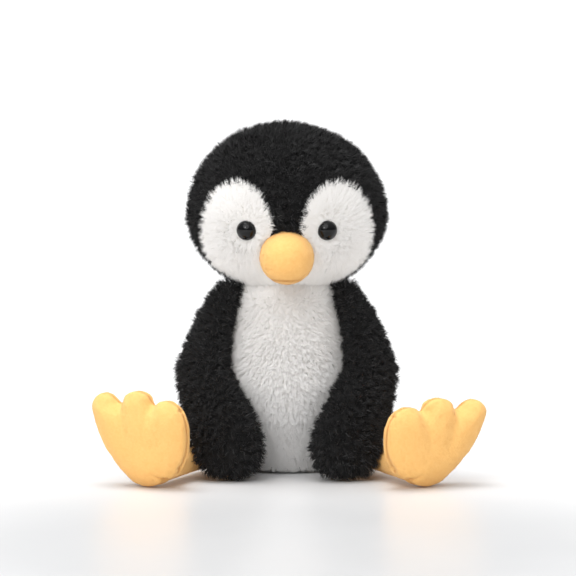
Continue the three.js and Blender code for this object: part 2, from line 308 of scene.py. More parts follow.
# ----------------------------------------------------- body panels and their pile
# The body's cloth: a knitted ground with a pile of fine acrylic fibres, which are curled and short on
# the black cloth and longer and straighter on the white. White belly, two black back panels, black seat.
BLACK = {"per_mm2": 3.55, "long": (4.0, 5.8), "thick": 0.34, "lie": (0.0, 0.6), "curl": 0.5, "twist": 0.45,
         "tuft": 2.2, "gather": 0.7, "stray": 0.8, "uneven": 0.6, "heights": (0, 0.4, 0.75, 1), "soft": 0.45}
WHITE = {"per_mm2": 8.6, "long": (4.4, 6.0), "thick": 0.26, "lie": (0.36, 0.78), "curl": 0.15, "twist": 0.22,
         "tuft": 1.5, "gather": 0.22, "stray": 0.22, "uneven": 0.25, "heights": (0, 0.55, 1), "soft": 0.8}
BELLY_HALF_WIDTH = ([70, 84, 100], [28.5, 26.5, 22])  # by height
BELLY_BACK_EDGE = -7
BODY_WIDE = ([ring[0] for ring in BODY_RINGS][::-1], [ring[1] for ring in BODY_RINGS][::-1])
BODY_DEEP = (BODY_WIDE[0], [ring[2] for ring in BODY_RINGS][::-1])
HEAD_CENTRE = np.array([0, 0, 143.0])
HEAD_HALF = np.array([52.5, 46, 46.5])
ROOT_DEPTH = 0.2
GROUND_RISE = 0.4
LOWEST_PILE = 0.35  # the height above the floor at which pile under the toy is pressed flat
TUFT_SEED = 7
SIDES = (("left", -1), ("right", 1))
SWIRL = 4.2  # how far round a fibre curls over its length, in radians


def unit(vectors):
    return vectors / np.maximum(np.linalg.norm(vectors, axis=1, keepdims=True), 1e-9)


def cell_luck(cells, seed):
    """Six random numbers for each cell of a lattice, always the same for the same cell."""
    mixed_up = cells[:, 0] * 73856093 ^ cells[:, 1] * 19349663 ^ cells[:, 2] * 83492791 ^ seed * 40503
    luck = []
    for draw in range(6):
        mixed_up = (mixed_up * 1103515245 + 12345 + draw) & 0x7FFFFFFFFFFF
        luck.append(((mixed_up >> 12) & 0xFFFFF) / 0x100000)
    return np.stack(luck, 1)


def tufts(points, size, seed):
    """The middle of the tuft that each fibre belongs to, and three random numbers for the tuft."""
    home = np.floor(points / size).astype(np.int64)
    nearest = np.full(len(points), np.inf)
    middle = np.zeros_like(points)
    luck = np.zeros_like(points)
    for step in itertools.product((-1, 0, 1), repeat=3):
        cell = home + np.array(step)
        numbers = cell_luck(cell, seed)
        centre = (cell + numbers[:, :3]) * size
        apart = ((points - centre) ** 2).sum(1)
        closer = apart < nearest
        nearest[closer] = apart[closer]
        middle[closer] = centre[closer]
        luck[closer] = numbers[closer, 3:]
    return middle, luck


def rooted(form, belongs, per_mm2, random):
    """Evenly scattered root points on the part of a form where belongs is true, in millimetres."""
    mesh = form.data
    mesh.calc_loop_triangles()
    corners = np.empty(len(mesh.loop_triangles) * 3, np.int64)
    mesh.loop_triangles.foreach_get("vertices", corners)
    corners = corners.reshape(-1, 3)
    points = points_of(form) / MM
    normals = normals_of(form)
    one, two, three = (points[corners[:, k]] for k in range(3))
    area = np.linalg.norm(np.cross(two - one, three - one), axis=1) / 2
    keep = belongs((one + two + three) / 3, 2.5)
    area = area * keep
    count = int(area.sum() * per_mm2)
    draws = (np.arange(count) + random.random(count)) / count * area.sum()
    face = np.minimum(np.searchsorted(np.cumsum(area), draws), len(area) - 1)
    first = np.sqrt(random.random(count))
    second = random.random(count)
    weights = np.stack([1 - first, first * (1 - second), first * second], 1)[:, :, None]
    root = (points[corners[face]] * weights).sum(1)
    normal = unit((normals[corners[face]] * weights).sum(1))
    inside = belongs(root, 0)
    return root[inside], normal[inside]


def ground(form, belongs, rise):
    """The part of a form's skin where belongs is true, moved out by rise: points and faces."""
    mesh = form.data
    normals = normals_of(form)
    points = points_of(form) / MM + normals * rise
    faces = [list(face.vertices) for face in mesh.polygons]
    middles = np.array([face.center for face in mesh.polygons]) / MM
    faces = [face for face, kept in zip(faces, belongs(middles, 0.6)) if kept]
    used = sorted({corner for face in faces for corner in face})
    number = {corner: place for place, corner in enumerate(used)}
    return points[used], normals[used], [[number[corner] for corner in face] for face in faces]


def fibre_blades(root, normal, cloth, comb, random):
    """Every fibre as a thin curved blade: its corners, its shading direction and its tuft's luck."""
    count = len(root)
    middle, tuft_luck = tufts(root, cloth["tuft"], TUFT_SEED)
    own = random.normal(size=(count, 3))
    lie_low, lie_high = cloth["lie"]
    side = comb(root) + (tuft_luck - 0.5) * 2 * cloth["stray"] + own * 0.3 * cloth["stray"]
    side -= (side * normal).sum(1, keepdims=True) * normal
    strength = np.clip(np.linalg.norm(side, axis=1, keepdims=True), 0, 1)
    side = unit(side)
    across = np.cross(normal, side)
    length = random.uniform(*cloth["long"], (count, 1)) * (1 + cloth["uneven"] * (tuft_luck[:, :1] - 0.5))
    lie = lie_low + (lie_high - lie_low) * strength
    inwards = middle - root
    inwards -= (inwards * normal).sum(1, keepdims=True) * normal
    phase = random.uniform(0, 2 * math.pi, (count, 1))
    heights = cloth["heights"]
    centres = []
    for rise in heights:
        upright = normal * (rise - 0.45 * lie * rise * rise)
        straight = upright + side * lie * (0.25 * rise + 0.85 * rise * rise)
        swirl = side * (np.cos(SWIRL * rise + phase) - np.cos(phase))
        swirl += across * (np.sin(SWIRL * rise + phase) - np.sin(phase))
        centres.append(
            root - normal * ROOT_DEPTH + straight * length + inwards * cloth["gather"] * rise
            + swirl * cloth["curl"] * rise ** 0.5
        )
    facing = normal + random.normal(size=(count, 3)) * cloth["twist"]
    flat = unit(np.cross(centres[-1] - centres[0], facing))
    outwards = unit(np.cross(flat, centres[-1] - centres[0]))
    soft = unit(normal * cloth["soft"] + outwards * (1 - cloth["soft"]))
    thick = cloth["thick"] * random.uniform(0.75, 1.25, (count, 1))
    rows = len(heights) - 1
    blade = np.empty((count, 2 * rows + 1, 3))
    for row in range(rows):
        share = 1 - 0.7 * heights[row] ** 1.6
        blade[:, 2 * row] = centres[row] - flat * thick * share / 2
        blade[:, 2 * row + 1] = centres[row] + flat * thick * share / 2
    blade[:, -1] = centres[-1]
    blade[:, :, 2] = np.maximum(blade[:, :, 2], LOWEST_PILE)
    return blade, soft, tuft_luck


def piled_panel(name, form, belongs, cloth, comb, seed, material):
    """A panel of pile cloth: its knitted ground with every fibre rooted in it, as one mesh."""
    random = np.random.default_rng(seed)
    root, normal = rooted(form, belongs, cloth["per_mm2"], random)
    blade, soft, tuft_luck = fibre_blades(root, normal, cloth, comb, random)
    count, corners = blade.shape[:2]
    rows = corners // 2
    skin_points, skin_normals, skin_faces = ground(form, belongs, GROUND_RISE)
    first = len(skin_points)
    starts = first + corners * np.arange(count)[:, None]
    outline = [2 * row + step for row in range(rows - 1) for step in (0, 1, 3, 2)]
    loops = (starts + np.array([*outline, corners - 3, corners - 2, corners - 1])).ravel()
    skin_loops = [corner for face in skin_faces for corner in face]
    skin_sizes = [len(face) for face in skin_faces]
    sizes = np.concatenate([skin_sizes, np.tile([4] * (rows - 1) + [3], count)]).astype(np.int32)
    every_loop = np.concatenate([skin_loops, loops]).astype(np.int32)
    points = np.concatenate([skin_points, blade.reshape(-1, 3)]) * MM
    mesh = bpy.data.meshes.new(name)
    mesh.vertices.add(len(points))
    mesh.vertices.foreach_set("co", points.ravel())
    mesh.loops.add(len(every_loop))
    mesh.loops.foreach_set("vertex_index", every_loop)
    mesh.polygons.add(len(sizes))
    mesh.polygons.foreach_set("loop_start", np.concatenate([[0], np.cumsum(sizes)[:-1]]).astype(np.int32))
    mesh.polygons.foreach_set("use_smooth", np.ones(len(sizes), bool))
    mesh.update(calc_edges=True)
    for word, ground_value, values in (
        ("rise", 0.0, np.tile(np.repeat(cloth["heights"], 2)[:-1], count)),
        ("luck", 0.5, np.repeat(random.random(count), corners)),
        ("tuft", 0.5, np.repeat(tuft_luck[:, 2], corners)),
    ):
        every_value = np.concatenate([np.full(first, ground_value), values])
        mesh.attributes.new(word, "FLOAT", "POINT").data.foreach_set("value", every_value.astype(np.float32))
    mesh.normals_split_custom_set_from_vertices(np.concatenate([skin_normals, np.repeat(soft, corners, 0)]))
    mesh.materials.append(material)
    panel = bpy.data.objects.new(name, mesh)
    bpy.context.collection.objects.link(panel)
    return panel


def attribute(start, word):
    return start.node("Attribute", {"attribute_name": word}, give=2)


def black_recipe(start):
    rise, luck, tuft = (attribute(start, word) for word in ("rise", "luck", "tuft"))
    patch = grain(start, 9)
    tip = mixed(luck, (0.008, 0.0078, 0.0082), (0.020, 0.019, 0.019))
    whole = mixed(rise, (0.005, 0.005, 0.0052), tip)
    return {
        "Base Color": mixed(tuft * 0.5 + patch * 0.3, whole, (0.008, 0.0078, 0.008)),
        "Roughness": 0.62 + luck * 0.3,
    }


def white_recipe(start):
    rise, luck, tuft = (attribute(start, word) for word in ("rise", "luck", "tuft"))
    tip = mixed(luck, (0.90, 0.89, 0.875), (0.95, 0.942, 0.932))
    whole = mixed(rise, (0.85, 0.83, 0.805), tip)
    # Painted light: the white pile glows faintly, most deep in the pile and least at its tips, and the glow
    # fades out from 100 mm down to 30 mm above the floor, low on the belly, where less light reaches.
    height = start.node("SeparateXYZ", {}, {0: start.node("TexCoord", give=3)}, 2)
    high = start.node("MapRange", {}, {"Value": height, "From Min": 0.03, "From Max": 0.10})
    return {
        "Base Color": mixed(tuft * 0.3, whole, (0.88, 0.865, 0.845)),
        "Roughness": 0.6 + luck * 0.3,
        "Emission Color": mixed(high, (0, 0, 0), mixed(rise, (0.14, 0.136, 0.13), (0.045, 0.043, 0.041))),
    }


black_pile = finish("black_pile", black_recipe, Specular_IOR_Level=0.25,
                    Sheen_Weight=0.12, Sheen_Roughness=0.5)
# The white pile's emission is painted light, standing in for light passed on through its fibres.
white_pile = finish("white_pile", white_recipe, Specular_IOR_Level=0.3,
                    Sheen_Weight=0.1, Emission_Strength=1.0)


def in_head(points, depth):
    return (((points - HEAD_CENTRE) / (HEAD_HALF - depth)) ** 2).sum(1) < 1


def in_body(points, depth):
    wide = np.interp(points[:, 2], *BODY_WIDE) - depth
    deep = np.interp(points[:, 2], *BODY_DEEP) - depth
    within = (points[:, 0] / wide) ** 2 + (points[:, 1] / deep) ** 2 < 1
    return within & (points[:, 2] > 1) & (points[:, 2] < 109 - depth)


def on_belly(points, slack):
    wide = np.interp(points[:, 2], *BELLY_HALF_WIDTH)
    front = (np.abs(points[:, 0]) < wide + slack) & (points[:, 1] < BELLY_BACK_EDGE + slack)
    return front & (points[:, 2] > 4 - slack) & ~in_head(points, 4)


def on_seat(points, slack):
    return points[:, 2] < 4 + slack


def on_back(side):
    def belongs(points, slack):
        wide = np.interp(points[:, 2], *BELLY_HALF_WIDTH)
        white = (np.abs(points[:, 0]) < wide - slack) & (points[:, 1] < BELLY_BACK_EDGE - slack)
        own = points[:, 0] * side > -slack
        return own & ~white & (points[:, 2] > 4 - slack) & ~in_head(points, 7)
    return belongs


def comb_down(amount, spread=0.0):
    """Combs the pile down by amount, and outwards from the middle by spread."""
    def comb(points):
        out = np.zeros_like(points)
        out[:, 2] = -amount
        out[:, 0] = np.sign(points[:, 0]) * spread * np.clip(np.abs(points[:, 0]) / 25, 0, 1)
        return out
    return comb


def pile_piece(panel, body, node):
    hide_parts(node)
    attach(panel, body)


def comb_belly(points):
    """White pile lies down and outwards, and stands up against the chin at the neck."""
    out = comb_down(0.55, 0.3)(points)
    out[:, 2] += 1.1 * np.clip((points[:, 2] - 90) / 9, 0, 1)
    return out


BELLY = {**WHITE, "long": (4.0, 5.4), "stray": 0.35, "gather": 0.25, "lie": (0.32, 0.75)}
pile_piece(
    piled_panel("belly_cloth", body_form, on_belly, BELLY, comb_belly, 11, white_pile),
    "torso", "belly_panel",
)
SEAT = {**BLACK, "per_mm2": 3.0, "long": (2.0, 3.0), "lie": (0.8, 1.0)}
pile_piece(
    piled_panel("seat_cloth", body_form, on_seat, SEAT, comb_down(0, 0.6), 12, black_pile),
    "torso", "base_panel",
)
for name, side in SIDES:
    pile_piece(
        piled_panel(
            f"back_cloth_{name}", body_form, on_back(side), BLACK, comb_down(0.3), 13 + side, black_pile
        ),
        "torso", f"back_panel_{name}",
    )


# ----------------------------------------------------------------- care label
# A blank loop of white satin tape, folded once, with both its ends caught in the back seam low down.
# Its folded end is free, and droops and waves a little.
TAPE_STEPS = 14
FOLD_STEPS = 6
FOLD_ROUND = 0.4  # the length of the round end of the fold
tape_low, tape_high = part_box("care_label")


def satin_recipe(start):
    place = start.node("TexCoord", give=3)
    bands = {"wave_type": "BANDS", "bands_direction": "Z"}
    threads = start.node("TexWave", bands, {"Vector": place, "Scale": 700.0})
    return {
        "Base Color": mixed(threads, (0.82, 0.82, 0.80), (0.90, 0.90, 0.89)),
        "Roughness": 0.32 + threads * 0.15,
        "Normal": start.node("Bump", {}, {"Height": threads, "Distance": 0.05 * MM}),
    }


def care_label():
    start, end = tape_low[1] / MM, tape_high[1] / MM
    half_gap = 0.3
    profile = []
    for k in range(TAPE_STEPS + 1):
        along = start + (end - start - FOLD_ROUND) * k / TAPE_STEPS
        profile.append((-half_gap - 0.25 * math.sin(math.pi * k / TAPE_STEPS), along))
    for k in range(1, FOLD_STEPS):
        turn = math.pi * k / FOLD_STEPS
        profile.append((-half_gap * math.cos(turn), end - FOLD_ROUND + half_gap * math.sin(turn)))
    for k in range(TAPE_STEPS, -1, -1):
        along = start + (end - start - FOLD_ROUND) * k / TAPE_STEPS
        profile.append((half_gap + 0.35 * math.sin(math.pi * k / TAPE_STEPS), along))
    put_down()
    bpy.ops.mesh.primitive_grid_add(x_subdivisions=len(profile) - 1, y_subdivisions=10, size=1)
    tape = bpy.context.object
    tape.name = tape.data.name = "label_loop"
    low, high = tape_low[2] / MM, tape_high[2] / MM
    points = points_of(tape)
    step = np.rint((points[:, 0] + 0.5) * (len(profile) - 1)).astype(int)
    shape = np.array(profile)[step]
    height = low + (points[:, 1] + 0.5) * (high - low)
    droop = ((shape[:, 1] - start) / (end - start)) ** 2 * 1.6
    wave = 0.5 * np.sin(height * 0.45 + shape[:, 1] * 0.3) * (shape[:, 1] - start) / (end - start)
    move_points(tape, np.stack([shape[:, 0] + wave, shape[:, 1], height - droop], 1) * MM)
    pick_up(tape)
    thickness = tape.modifiers.new("thickness", "SOLIDIFY")
    thickness.thickness = 0.14 * MM
    thickness.offset = 0
    bpy.ops.object.modifier_apply(modifier="thickness")
    bpy.ops.object.shade_smooth_by_angle(angle=math.radians(50))
    tape.data.materials.append(finish("label_tape", satin_recipe, Sheen_Weight=0.2))
    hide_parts("care_label")
    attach(tape, "torso")


care_label()


# --------------------------------------------------------------- neck filling
# A firm ball of fibre where the body's open top goes into the head. It is what lets the head turn and
# nod, and what brings it back.
dress("neck_stuffing", fibre)


# --------------------------------------------------- head filling and head panels
# A wide, slightly flattened ball of fibre. Two black crown panels come down to a point between two
# white lobes, which join under the beak. The eyes' stalks pull the cloth in round them.
LOBE_X, LOBE_Z = 26.0, 132.5
LOBE_WIDE, LOBE_HIGH = 17.0, 25.0
CHIN_HALF_WIDTH, CHIN_TOP = 24, 117
FACE_BACK = -10
EYE_X, EYE_Z = 22.4, 133.6
EYE_PULL = 1.3
EYE_CLEARING = 5.3  # no pile is rooted nearer than this to the middle of an eye


def head_front(x, z):
    """The place on the front of the head at x and z, and the direction that it faces."""
    left_over = 1 - (x / HEAD_HALF[0]) ** 2 - ((z - HEAD_CENTRE[2]) / HEAD_HALF[2]) ** 2
    place = np.array([x, -HEAD_HALF[1] * math.sqrt(left_over), z])
    facing = (place - HEAD_CENTRE) / HEAD_HALF ** 2
    return place, facing / np.linalg.norm(facing)


EYES = {name: head_front(side * EYE_X, EYE_Z) for name, side in SIDES}


def head_filling():
    put_down()
    bpy.ops.mesh.primitive_ico_sphere_add(subdivisions=6, radius=1)
    form = bpy.context.object
    form.name = form.data.name = "head_filling"
    points = points_of(form) * (HEAD_HALF - BACKING - 0.4) + HEAD_CENTRE
    for place, facing in EYES.values():
        apart = np.linalg.norm(points - place, axis=1, keepdims=True)
        points -= facing * EYE_PULL * np.exp(-(apart / 8) ** 2)
    lumps = np.sin(points[:, :1] * 0.16 + 1) * np.sin(points[:, 1:2] * 0.19 + 2)
    lumps = lumps * np.sin(points[:, 2:] * 0.14)
    points += unit(points - HEAD_CENTRE) * lumps * 0.7
    low_down = np.clip((150 - points[:, 2]) / 15, 0, 1) * np.clip((points[:, 2] - 104) / 12, 0, 1)
    points[:, 0] += points[:, 0] / 50 * low_down * 1.6
    high_up = np.clip((points[:, 2] - 150) / 36, 0, 1)
    leaning = 0.6 * np.sign(points[:, 0]) * np.minimum(np.abs(points[:, 0]) / 20, 1)
    points[:, 2] -= high_up * (1.0 + leaning)
    move_points(form, points * MM)
    pick_up(form)
    bpy.ops.object.shade_smooth()
    return form


head_form = head_filling()
padded_piece(head_form, "head", "fibre_fill", fibre, 0.9, "head_stuffing")


def lobe_reach(points, side, slack=0.0):
    """How far a point is from the middle of a lobe, as a share of the way to its edge."""
    wide = (points[:, 0] - side * LOBE_X) / (LOBE_WIDE + slack)
    high = (points[:, 2] - LOBE_Z) / (LOBE_HIGH + slack)
    return np.hypot(wide, high)


def in_white(points, slack):
    lobes = np.minimum(lobe_reach(points, -1, slack), lobe_reach(points, 1, slack)) < 1
    chin = (np.abs(points[:, 0]) < CHIN_HALF_WIDTH + slack) & (points[:, 2] < CHIN_TOP + slack)
    return (lobes | chin) & (points[:, 1] < FACE_BACK + slack)


def clear_of_eyes(points, slack):
    apart = [np.linalg.norm(points - place, axis=1) for place, facing in EYES.values()]
    return np.minimum(*apart) > EYE_CLEARING - slack


BEAK_CENTRE = np.array([0, -41, 119.6])
BEAK_HALF = np.array([15, 20.5, 14.8])


def in_beak(points, depth):
    return (((points - BEAK_CENTRE) / (BEAK_HALF - depth)) ** 2).sum(1) < 1


def bare(points, slack):
    """Where the head is covered neither by the beak nor by the body."""
    return ~in_beak(points, 4 + slack) & ~in_body(points, 9 + slack)


def on_face(side):
    def belongs(points, slack):
        own = points[:, 0] * side > -slack
        return own & in_white(points, slack) & clear_of_eyes(points, slack) & bare(points, slack)
    return belongs


def on_crown(side):
    def belongs(points, slack):
        own = points[:, 0] * side > -slack
        return own & ~in_white(points, -slack) & bare(points, slack)
    return belongs


def comb_face(points):
    """White pile lies outwards from the middle of each lobe, away from the eye, and down on the chin."""
    out = np.zeros_like(points)
    for side in (-1, 1):
        reach = lobe_reach(points, side)
        mine = (points[:, 0] * side > 0).astype(float)
        edge = np.clip((reach - 0.1) / 0.5, 0, 1) * mine
        out[:, 0] += edge * (points[:, 0] - side * LOBE_X) / LOBE_WIDE
        out[:, 2] += edge * (points[:, 2] - LOBE_Z) / LOBE_HIGH
    for place, facing in EYES.values():
        away = points - place
        apart = np.linalg.norm(away, axis=1, keepdims=True)
        out += away / apart * 0.9 * np.exp(-((apart - 5) / 2.2) ** 2)
    away = points - BEAK_CENTRE
    apart = np.linalg.norm(away[:, [0, 2]], axis=1, keepdims=True)
    out += away / apart * 0.9 * np.exp(-((apart - 14) / 4) ** 2)
    out[:, 2] -= 0.5 * np.clip((118 - points[:, 2]) / 10, 0, 1)
    return out


def comb_crown(points):
    """Black pile lies down all round, but away from the white lobes beside them."""
    out = comb_down(0.3)(points)
    for side in (-1, 1):
        near = np.clip(3 - 2 * lobe_reach(points, side), 0, 1) * (points[:, 1] < FACE_BACK)
        out[:, 0] += near * (points[:, 0] - side * LOBE_X) / LOBE_WIDE
        out[:, 2] += near * (points[:, 2] - LOBE_Z) / LOBE_HIGH
    return out


for name, side in SIDES:
    pile_piece(
        piled_panel(f"face_cloth_{name}", head_form, on_face(side), WHITE, comb_face, 23 + side, white_pile),
        "head", f"face_panel_{name}",
    )
    pile_piece(
        piled_panel(
            f"crown_cloth_{name}", head_form, on_crown(side), BLACK, comb_crown, 33 + side, black_pile
        ),
        "head", f"crown_panel_{name}",
    )


# ----------------------------------------------------------------------- eyes
# Black moulded plastic domes, just under 11 mm across, each with a stalk that goes through the cloth
# into a lock washer in the filling. Polished, so they mirror the room.
EYE_RADIUS, EYE_HIGH, EYE_SUNK = 5.4, 4.4, 1.7


def plastic_recipe(dark, light):
    def recipe(start):
        specks = grain(start, 0.6, 4)
        return {
            "Base Color": mixed(specks, dark, light),
            "Roughness": 0.06 + specks * 0.04,
        }
    return recipe


eye_plastic = finish("eye_plastic", plastic_recipe((0.0015, 0.0015, 0.0016), (0.003, 0.003, 0.0032)),
                     Specular_IOR_Level=0.3)
washer_plastic = finish("washer_plastic", plastic_recipe((0.70, 0.70, 0.68), (0.78, 0.78, 0.76)))
for name, (place, facing) in EYES.items():
    put_down()
    bpy.ops.mesh.primitive_uv_sphere_add(segments=48, ring_count=32, radius=1)
    eye = bpy.context.object
    eye.name = eye.data.name = f"eye_dome_{name}"
    bpy.ops.object.mode_set(mode="EDIT")
    bpy.ops.mesh.select_all(action="SELECT")
    bpy.ops.mesh.bisect(plane_co=(0, 0, 0), plane_no=(0, 0, 1), clear_inner=True)
    bpy.ops.mesh.extrude_region_move(TRANSFORM_OT_translate={"value": (0, 0, -0.16)})
    bpy.ops.mesh.select_all(action="DESELECT")
    bpy.ops.mesh.select_non_manifold()
    bpy.ops.mesh.edge_face_add()
    bpy.ops.mesh.inset(thickness=0.55)
    bpy.ops.mesh.extrude_region_move(TRANSFORM_OT_translate={"value": (0, 0, -2.4)})
    bpy.ops.mesh.select_all(action="SELECT")
    bpy.ops.mesh.normals_make_consistent(inside=False)
    bpy.ops.object.mode_set(mode="OBJECT")
    turn = Vector(facing).to_track_quat("Z", "Y").to_matrix().to_4x4()
    size = Matrix.Diagonal((EYE_RADIUS * MM, EYE_RADIUS * MM, EYE_HIGH * MM, 1))
    spot = Matrix.Translation(Vector((place - facing * EYE_SUNK) * MM))
    eye.data.transform(spot @ turn @ size)
    pick_up(eye)
    bpy.ops.object.shade_smooth_by_angle(angle=math.radians(35))
    eye.data.materials.append(eye_plastic)
    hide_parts(f"eye_{name}")
    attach(eye, "head")
    dress(f"eye_washer_{name}", washer_plastic)


# ----------------------------------------------------------------------- beak
# A stuffed cup of yellow velour, upper and lower panels joined by a seam low down on its sides, sewn
# over the point of the crown.
BEAK_SEAM = 108.5


def velour_recipe(start):
    patch = grain(start, 14, 2)
    nap = grain(start, 1.2, 5)
    fuzz = grain(start, 0.4, 4)
    shade = mixed(patch, (0.80, 0.43, 0.12), (0.86, 0.49, 0.15))
    return {
        "Base Color": mixed(nap * 0.8, shade, (0.93, 0.58, 0.23)),
        "Roughness": 0.8 + nap * 0.15,
        "Normal": start.node("Bump", {}, {
            "Height": fuzz * 0.6 + nap, "Distance": 0.26 * MM, "Strength": 0.9,
        }),
    }


VELOUR = {"per_mm2": 6.0, "long": (0.9, 1.3), "thick": 0.3, "lie": (0.4, 0.8), "curl": 0.0, "twist": 0.15,
          "tuft": 1.8, "gather": 0.1, "stray": 0.6, "uneven": 0.3, "heights": (0, 1), "soft": 1.0}
# Painted light: the velour glows faintly orange all over, standing in for light bounced onto its shaded
# undersides.
velour = finish("yellow_velour", velour_recipe, Specular_IOR_Level=0.2,
                Sheen_Weight=0.35, Sheen_Roughness=0.4,
                Sheen_Tint=(1.0, 0.85, 0.6, 1), Emission_Color=(1.0, 0.52, 0.17, 1), Emission_Strength=0.07)


def groove(piece, distance, depth, wide):
    """Pulls a seam in: distance is each point's distance from the seam, in millimetres."""
    pull = depth * np.exp(-(distance / wide) ** 2)
    move_points(piece, points_of(piece) - normals_of(piece) * pull[:, None] * MM)


put_down()
bpy.ops.mesh.primitive_ico_sphere_add(subdivisions=5, radius=1)
beak = bpy.context.object
beak.name = beak.data.name = "beak_filling"
move_points(beak, (points_of(beak) * (BEAK_HALF - 1.8) + BEAK_CENTRE) * MM)
stuff(beak, 2, 6, 1.5, 2)
fit_box(beak, BEAK_CENTRE - BEAK_HALF + 0.8, BEAK_CENTRE + BEAK_HALF - 0.8)
groove(beak, points_of(beak)[:, 2] / MM - BEAK_SEAM, 0.05, 1.0)
padded_piece(beak, "head", "fibre_fill", fibre, 0.9, "beak_stuffing")


def upper_beak(points, slack):
    return points[:, 2] > BEAK_SEAM - slack


def lower_beak(points, slack):
    return points[:, 2] < BEAK_SEAM + slack


for name, belongs in (("upper", upper_beak), ("lower", lower_beak)):
    cup = piled_panel(f"beak_{name}_cloth", beak, belongs, VELOUR, comb_down(0.4), 61, velour)
    pile_piece(cup, "head", f"beak_{name}")


# ---------------------------------------------------------------------- wings
# Long flat bags of the black pile cloth, an outer and an inner panel, lightly filled. Each is sewn to
# the body at its top only, and curves forward so that its tip rests beside the belly.
WING_STATIONS = np.array([
    # x, y, z, way it faces, half its width, half its thickness
    (30.5, -7, 104, 12, 12.5, 9),
    (33, -8, 95, 12, 14.5, 9.4),
    (38, -9.5, 86, 12, 17, 9.6),
    (42.3, -13, 73, 16, 19, 10.2),
    (45.2, -21.5, 57, 28, 21.5, 12.2),
    (39.8, -35.5, 42, 48, 22.5, 13),
    (33.6, -44.6, 27, 66, 23, 12.8),
    (31.4, -48, 13.5, 80, 23.2, 12.2),
    (31.4, -48.6, 2, 84, 22.6, 11.5),
])


def station(place):
    """The wing's centre, facing and half sizes at place, from 0 at its top to 1 at its tip."""
    steps = np.linspace(0, 1, len(WING_STATIONS))
    return [float(np.interp(place, steps, column)) for column in WING_STATIONS.T]


def wing_rings(steps=18):
    rings = []
    for step in range(steps + 1):
        angle = math.pi * (0.03 + 0.94 * step / steps)
        place = 0.022 + 0.956 * (1 - math.cos(angle)) / 2
        x, y, z, faces, wide, thick = station(place)
        roundness = math.sin(angle) ** (0.5 if step < steps / 2 else 0.42)
        half = ((thick - BACKING - FILLING_GAP) * roundness, (wide - BACKING - FILLING_GAP) * roundness)
        rings.append(((x, y, z), -math.radians(faces), half))
    return rings


def mirrored(piece, name):
    """The left-hand copy of a right-hand piece."""
    twin = piece.copy()
    twin.data = piece.data.copy()
    twin.name = twin.data.name = name
    bpy.context.collection.objects.link(twin)
    twin.data.transform(Matrix.Diagonal((-1, 1, 1, 1)))
    twin.data.flip_normals()
    return twin


def wing_face(points, side):
    """How far each point is out of the wing's middle surface, towards its outer panel."""
    steps = np.linspace(0, 1, len(WING_STATIONS))
    place = np.clip(np.interp(-points[:, 2], -WING_STATIONS[:, 2], steps), 0, 1)
    x, y, faces = (np.interp(place, steps, WING_STATIONS[:, k]) for k in (0, 1, 3))
    faces = np.radians(faces)
    return (points[:, 0] * side - x) * np.cos(faces) - (points[:, 1] - y) * np.sin(faces)


def on_wing(side, outer):
    def belongs(points, slack):
        return wing_face(points, side) * outer > -slack
    return belongs


wing_right = stuff(loft("wing_filling_right", wing_rings(), 32), 3, 5, 2)
wing_left = mirrored(wing_right, "wing_filling_left")
for name, side, form in (("left", -1, wing_left), ("right", 1, wing_right)):
    padded_piece(form, f"wing_{name}", "fibre_fill", fibre, 0.6, f"wing_stuffing_{name}")
    for word, outer in (("outer", 1), ("inner", -1)):
        seed = 50 + 2 * side + outer
        panel = piled_panel(
            f"wing_{word}_cloth_{name}", form, on_wing(side, outer), BLACK, comb_down(0.45), seed, black_pile
        )
        pile_piece(panel, f"wing_{name}", f"wing_{word}_{name}")


# ----------------------------------------------------------------------- legs
# Short plain tubes of the yellow velour, filled and sewn to the body at the hip and to the back of the
# foot at the ankle.
LEG_RADIUS = 7.4
HIP = np.array([41, -7.5, 10])
ANKLE = np.array([60.8, -56.5, 9.5])
INTO_BODY, INTO_FOOT = 14, 15  # how far the tube goes on past the hip and past the ankle
ROOT_SHARE = 0.32  # the share of its length that turns inwards, inside the body
ROOT_TURN, ROOT_LIFT = 15, 1.5


def leg_form():
    way = (ANKLE - HIP) / np.linalg.norm(ANKLE - HIP)
    start, end = HIP - way * INTO_BODY, ANKLE + way * INTO_FOOT
    put_down()
    bpy.ops.mesh.primitive_cylinder_add(vertices=32, radius=1, depth=1, end_fill_type="TRIFAN")
    form = bpy.context.object
    form.name = form.data.name = "leg_filling_right"
    turn = Vector(way).to_track_quat("Z", "Y").to_matrix().to_4x4()
    length = float(np.linalg.norm(end - start))
    size = Matrix.Diagonal(((LEG_RADIUS - 1) * MM, (LEG_RADIUS - 1) * MM, length * MM, 1))
    form.data.transform(Matrix.Translation(Vector((start + end) / 2 * MM)) @ turn @ size)
    stuff(form, 1.8, 8, 1.0)
    points = points_of(form)
    along = (points / MM - start) @ way / length
    rooted_in = np.clip(1 - along / ROOT_SHARE, 0, 1)
    points[:, 0] -= ROOT_TURN * MM * rooted_in ** 1.5
    points[:, 2] += ROOT_LIFT * MM * rooted_in
    move_points(form, points)
    return form


def whole(points, slack):
    return points[:, 2] > -slack


leg_right = leg_form()
leg_left = mirrored(leg_right, "leg_filling_left")
for name, side, form in (("left", -1, leg_left), ("right", 1, leg_right)):
    cloth = piled_panel(f"leg_cloth_{name}", form, whole, VELOUR, comb_down(0.2), 81 + side, velour)
    form.data.materials.clear()
    form.data.materials.append(fibre)
    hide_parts(f"leg_stuffing_{name}")
    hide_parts(f"leg_tube_{name}")
    for piece in (form, cloth):
        bend_start = (side * 31 * MM, 0.002, 0.011)
        bend_end = (side * 44 * MM, -0.018, 0.010)
        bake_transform(piece)


